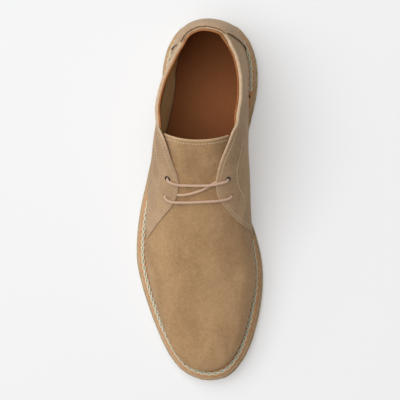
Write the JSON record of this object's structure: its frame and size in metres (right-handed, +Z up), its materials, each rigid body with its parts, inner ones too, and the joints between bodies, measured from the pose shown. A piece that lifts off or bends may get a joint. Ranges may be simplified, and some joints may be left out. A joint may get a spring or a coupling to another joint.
{
  "type": "chukka boot",
  "caption": "Ankle-high suede lace-up boot, open at collar and throat, with tongue, leather welt, crepe sole and low heel.",
  "frame": {"origin": "on the floor under the middle of the sole's length and width", "axes": "-Y towards the toe, +X towards the inner (medial) side of the foot, +Z up"},
  "size_m": [0.1079, 0.305, 0.1261],
  "materials": {
    "suede": "sand suede, matt, with a short nap",
    "crepe": "natural crepe rubber, matt",
    "midsole_leather": "pale leather, plain edge",
    "welt_leather": "tan leather, smooth",
    "insole_leather": "dark brown leather, smooth",
    "dark_metal": "darkened metal",
    "lace_cord": "round waxed cord"
  },
  "bodies": {
    "root": {"outsole": "crepe", "heel": "crepe", "midsole": "midsole_leather", "welt": "welt_leather", "insole": "insole_leather", "upper": "suede", "quarter_medial": "suede", "quarter_lateral": "suede", "heel_panel": "suede", "tongue": "suede", "eyelet_medial": "dark_metal", "eyelet_lateral": "dark_metal", "lace_upper": "lace_cord", "lace_lower": "lace_cord"}
  },
  "joints": []
}
